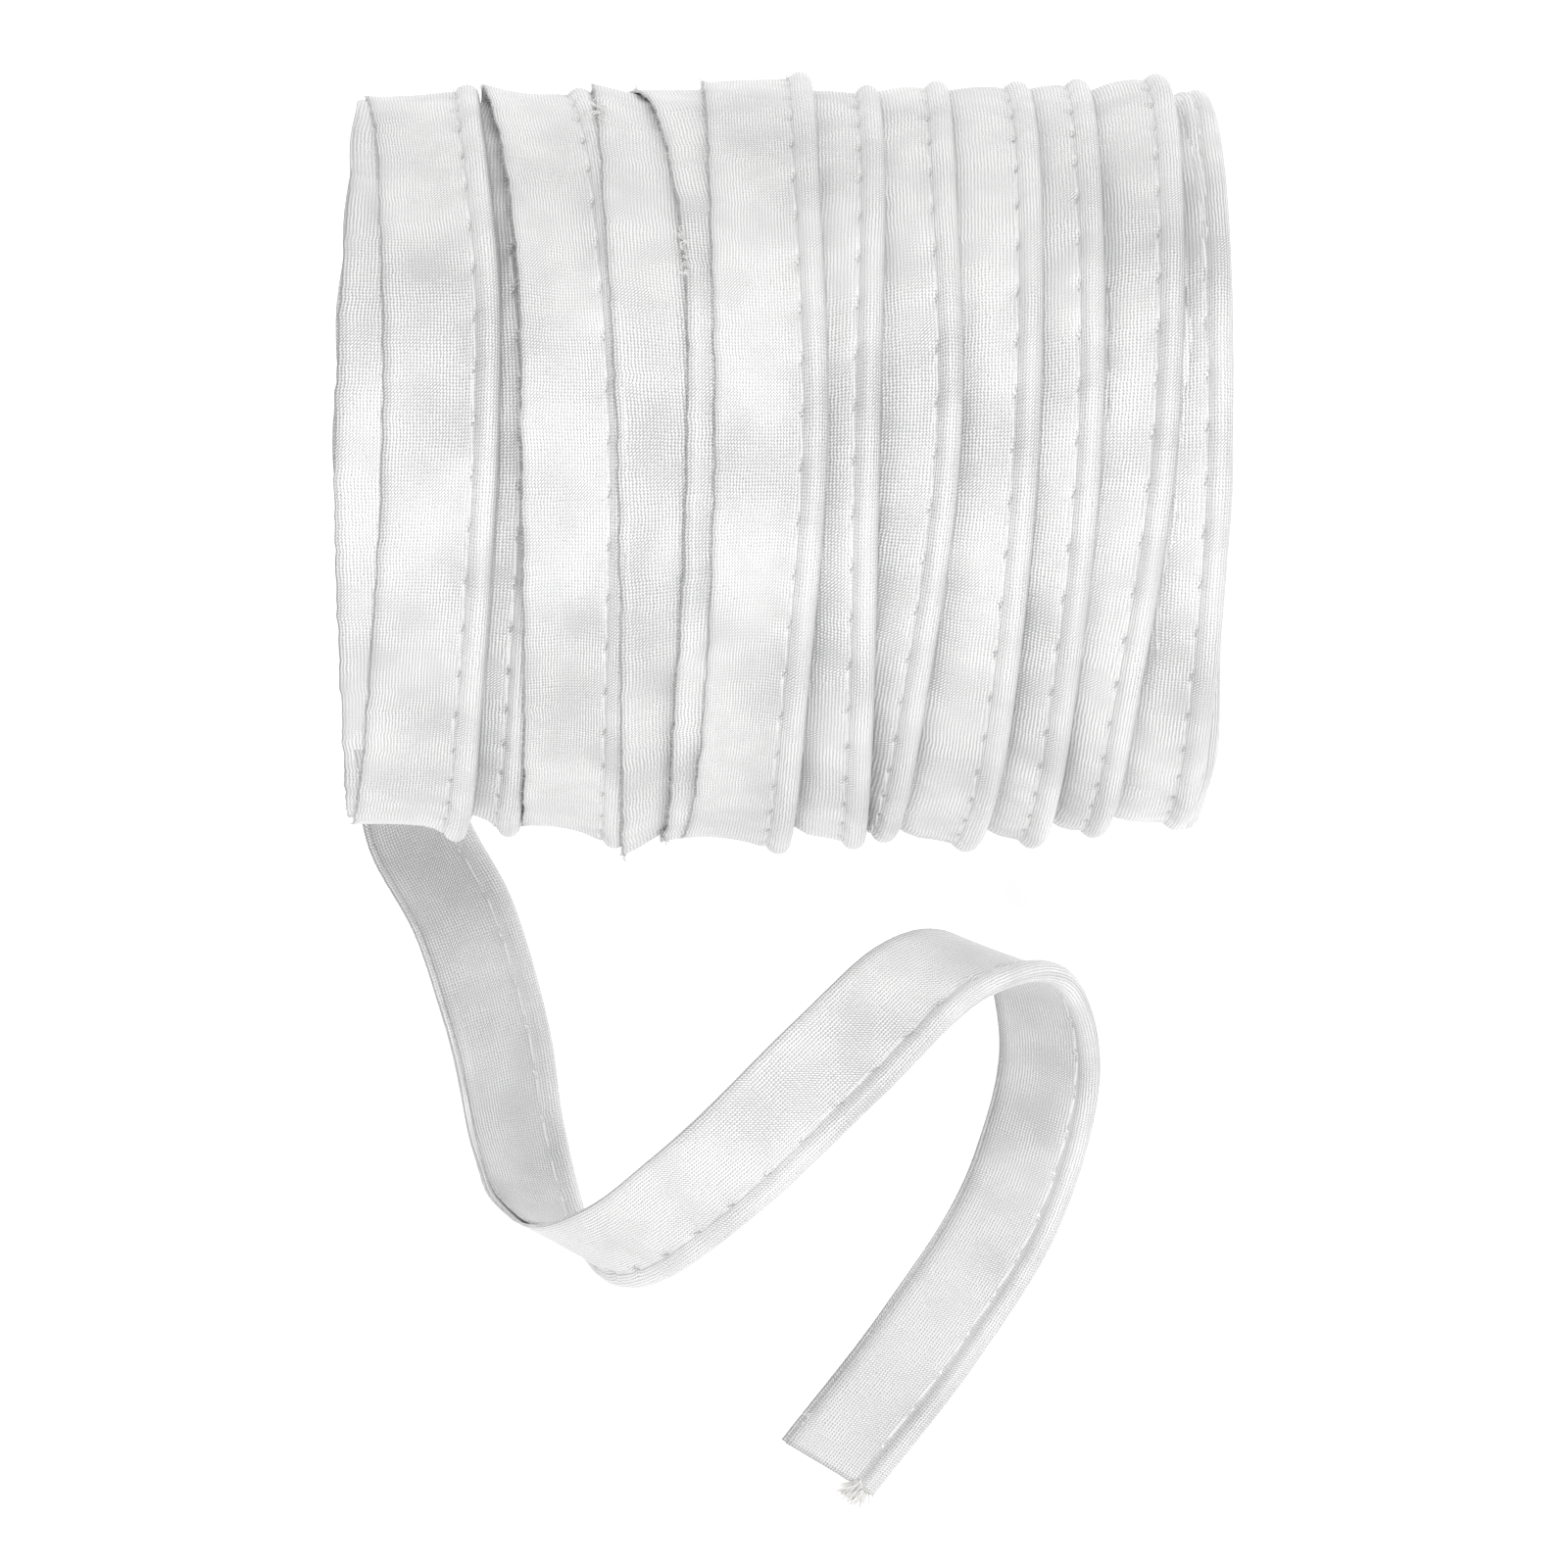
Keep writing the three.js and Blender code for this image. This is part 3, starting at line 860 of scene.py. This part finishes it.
def stitchThreads(name, lines, spec, seed):
    draw = np.random.default_rng(seed)
    t = np.linspace(0, 1, spec["points"])
    atEnds = (2 * t - 1) ** 6
    points, faces = [], []
    for line, key, face in lines:
        first = math.ceil(line["along"][0] / strip["stitch"]) * strip["stitch"] + spec["start"]
        for start in np.arange(first, line["along"][-1] - strip["stitch"], strip["stitch"]):
            place = start + t * spec["visible"]
            height = spec["rise"] - spec["dive"] * atEnds
            wander = draw.uniform(-spec["wander"], spec["wander"])
            shift = spec["aside"] + spec["slant"] * (1 - 2 * t) + wander
            route = (onLine(line, key, place) + onLine(line, "outward", place) * (face * height)[:, None]
                     + onLine(line, "across", place) * shift[:, None])
            addTube(points, faces, route, spec["radius"] * (1 - spec["thinner"] * atEnds), spec["sides"])
    return addPiece(name, points, faces, thread)


# Each line with the row of points that the thread follows, and 1 for the outer face or -1 for the inner one
woundSeams = [(rightLine, "seam", 1), (middleLine, "seam", 1), (lowerLine, "seam", 1)]
tailSeams = [(tailLine, "seam", 1), (tailLine, "underSeam", -1)]
woundStitches = stitchThreads("woundStitches", woundSeams, stitching, 7)
tailStitches = stitchThreads("tailStitches", tailSeams, stitching, 8)
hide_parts("winding")
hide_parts("tail")
print("stitches made")

fuzz = {
    "spacing": 0.5,
    "radius": 0.026,
    "tip": 0.4,             # share of the radius
    "long": 0.42,
    "lean": 0.9,
    "lowest": 0.08,
}


def edgeFuzz(name, lines, spec, seed):
    draw = np.random.default_rng(seed)
    t = np.linspace(-0.15, 1, 4)[:, None]
    radii = [spec["radius"]] * 3 + [spec["radius"] * spec["tip"]]
    points, faces = [], []
    for line, key in lines:
        for start in np.arange(line["along"][0] + 0.2, line["along"][-1], spec["spacing"]):
            place = start + draw.uniform(-0.2, 0.2)
            base, out, side = (onLine(line, k, np.array([place]))[0] for k in (key, "outward", "across"))
            forward = unit(np.cross(out, side))
            long = spec["long"] * draw.uniform(0.2, 1.0) ** 2
            lean = draw.uniform(-spec["lean"], spec["lean"], 2)
            swing = -side + forward * lean[0] + out * lean[1] * 0.5
            route = base + t * long * swing + t * t * forward * long * lean[1]
            route[:, 2] = np.maximum(route[:, 2], spec["lowest"])
            addTube(points, faces, route, radii, 3)
    return addPiece(name, points, faces, yarn)


# Loose yarns: which line and which edge, where round the roll or along the strip, over what length,
# how many, how long and how curly
woundColumns = ("line", "edge", "turn", "angle", "spread", "count", "long", "curl")
woundTufts = [
    ("lower", "edge", 3, 150.0, 3.0, 20, 2.8, 0.6),
    ("lower", "edge", 4, 119.0, 5.5, 22, 2.0, 0.65),
    ("lower", "edge", 3, -3.0, 1.0, 7, 1.3, 0.3),
    ("lower", "edge", 4, 3.0, 1.5, 6, 1.2, 0.4),
    ("lower", "edge", 4, 172.0, 1.5, 5, 1.0, 0.4),
    ("lower", "seam", 2, 168.0, 1.6, 7, 1.3, 0.5),
    ("middle", "seam", 7, 168.0, 1.6, 7, 1.3, 0.5),
    ("middle", "seam", 6, 171.0, 1.2, 6, 1.4, 0.5),
    ("middle", "seam", 5, 168.0, 1.0, 4, 1.1, 0.5),
    ("middle", "seam", 4, 171.0, 1.2, 4, 1.1, 0.5),
    ("right", "seam", 3, 171.0, 1.2, 4, 1.1, 0.5),
    ("right", "seam", 2, 172.0, 1.6, 7, 1.3, 0.5),
    ("middle", "edge", 6, 176.0, 1.0, 3, 0.8, 0.4),
]
tailColumns = ("line", "edge", "at", "spread", "count", "long", "curl")
tailTufts = [
    ("tail", "seam", 135.5, 1.6, 7, 1.7, 0.35),
    ("tail", "seam", 112.0, 1.0, 2, 0.9, 0.5),
    ("tail", "lowerEdge", 199.5, 1.2, 6, 1.1, 0.3),
    ("tail", "edge", 160.0, 6.0, 5, 0.8, 0.4),
]
yarnShape = {
    "steps": 14,
    "root": 0.2,            # how far inside the cloth's edge it starts
    "thickness": (0.055, 0.03),
    "lowest": 0.06,
    "unrest": 0.08,
}


def looseYarns(name, lines, columns, tufts, spec, seed):
    draw = np.random.default_rng(seed)
    radii = np.linspace(*spec["thickness"], spec["steps"])
    points, faces = [], []
    for tuft in (dict(zip(columns, row)) for row in tufts):
        line = lines[tuft["line"]]
        middle = tuft["at"] if "at" in tuft else np.interp(360 * tuft["turn"] + tuft["angle"],
                                                           line["angle"], line["along"])
        for _ in range(tuft["count"]):
            place = np.array([middle + draw.uniform(-0.5, 0.5) * tuft["spread"]])
            base, out, side = (onLine(line, k, place)[0] for k in (tuft["edge"], "outward", "across"))
            upright, forward = draw.uniform(0.3, 1.0), draw.uniform(-1, 1)
            heading = unit(-side * 0.7 + out * upright + np.cross(out, side) * forward)
            axis = unit(draw.normal(size=3))
            long = tuft["long"] * draw.uniform(0.5, 1.1)
            turn = tuft["curl"] * draw.uniform(0.5, 1.3) * draw.choice([-1, 1])
            route, spot = [], base + side * spec["root"]
            for _ in range(spec["steps"]):
                route.append(spot)
                unrest = draw.normal(size=3) * spec["unrest"]
                heading = unit(heading + np.cross(axis, heading) * turn + unrest)
                spot = spot + heading * long / spec["steps"]
                spot[2] = max(spot[2], spec["lowest"])
            addTube(points, faces, route, radii, 4)
    return addPiece(name, points, faces, yarn)


lines = {"right": rightLine, "middle": middleLine, "lower": lowerLine, "tail": tailLine}
woundFuzz = edgeFuzz("woundEdgeFuzz", [(middleLine, "edge"), (lowerLine, "edge")], fuzz, 21)
tailFuzz = edgeFuzz("tailEdgeFuzz", [(tailLine, "edge"), (tailLine, "lowerEdge")], fuzz, 22)
woundYarns = looseYarns("woundYarns", lines, woundColumns, woundTufts, yarnShape, 24)
tailYarns = looseYarns("tailYarns", lines, tailColumns, tailTufts, yarnShape, 23)
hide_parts("winding")
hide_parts("winding")
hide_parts("tail")
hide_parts("tail")
print("frays made")

cordEnd = {
    "yarns": 110,
    "inside": 1.2,          # where they start, before the cut end
    "aside": 0.3,           # towards the raw edge
    "radius": 0.7,
    "flare": (1.2, 2.4),
    "spread": 0.2,
    "long": (1.9, 3.1),
    "bend": (-0.6, 0.5),
    "lowest": 0.12,
    "radii": (0.10, 0.10, 0.09, 0.08, 0.07, 0.03),
    "sides": 5,
}


def cordTip(shape, spec):
    a, b = shape["across"][-1], shape["outward"][-1]
    forward = unit(shape["centre"][-1] - shape["centre"][-3])
    start = shape["centre"][-1] - forward * spec["inside"] - a * spec["aside"]
    draw = np.random.default_rng(5)
    points, faces = [], []
    for _ in range(spec["yarns"]):
        base = draw.uniform(0, 2 * math.pi)
        reach = spec["radius"] * math.sqrt(draw.uniform())
        tip = reach * draw.uniform(*spec["flare"]) + spec["spread"]
        long = draw.uniform(*spec["long"])
        bend = draw.uniform(*spec["bend"], 2)
        side = a * math.cos(base) + b * math.sin(base)
        route = []
        for t in np.linspace(0, 1, len(spec["radii"])):
            point = start + forward * long * t + side * (reach + (tip - reach) * t**2)
            point = point + (a * bend[0] + b * bend[1]) * t * t
            point[2] = max(point[2], spec["lowest"])
            route.append(point)
        addTube(points, faces, route, spec["radii"], spec["sides"])
    return addPiece("cordTip", points, faces, cotton)


tip = cordTip(tailShape, cordEnd)
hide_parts("cord_end")
print("cord tip made")

# Table and light, in metres
studio = {
    "tableReach": 3.0,
    "tableColour": (0.93, 0.93, 0.93, 1),
    "tableRoughness": 0.7,
    "tableGlow": 0.5,
    "world": 0.33,
    "target": (0, -0.02, 0),
    "boxSize": 0.45,
    "boxes": {
        "softFront": {"place": (0.05, -0.54, 0.9), "power": 4.9},
        "softBack": {"place": (0.05, 0.36, 0.97), "power": 4.7},
    },
}


def addFloor(spec):
    mesh = bpy.data.meshes.new("table")
    reach = spec["tableReach"]
    mesh.from_pydata([(-reach, -reach, 0), (reach, -reach, 0), (reach, reach, 0), (-reach, reach, 0)], [],
                     [(0, 1, 2, 3)])
    finish = Finish("paleTable")
    finish.set(Base_Color=spec["tableColour"], Roughness=spec["tableRoughness"],
               Emission_Color=(1, 1, 1, 1), Emission_Strength=spec["tableGlow"])
    mesh.materials.append(finish.material)
    floor = bpy.data.objects.new("table", mesh)
    bpy.context.scene.collection.objects.link(floor)


def addSoftBox(name, spec, box):
    data = bpy.data.lights.new(name, "AREA")
    data.shape = "SQUARE"
    data.size = spec["boxSize"]
    data.energy = box["power"]
    lamp = bpy.data.objects.new(name, data)
    lamp.location = box["place"]
    direction = np.array(spec["target"]) - np.array(box["place"])
    lamp.rotation_euler = Vector(direction).to_track_quat("-Z", "Y").to_euler()
    bpy.context.scene.collection.objects.link(lamp)


def addWorld(strength):
    world = bpy.data.worlds.new("studio")
    world.use_nodes = True
    background = world.node_tree.nodes["Background"]
    background.inputs["Color"].default_value = (1, 1, 1, 1)
    background.inputs["Strength"].default_value = strength
    bpy.context.scene.world = world


addFloor(studio)
for name, box in studio["boxes"].items():
    addSoftBox(name, studio, box)
addWorld(studio["world"])
bpy.context.scene.view_settings.view_transform = "Standard"
print("table and light made")
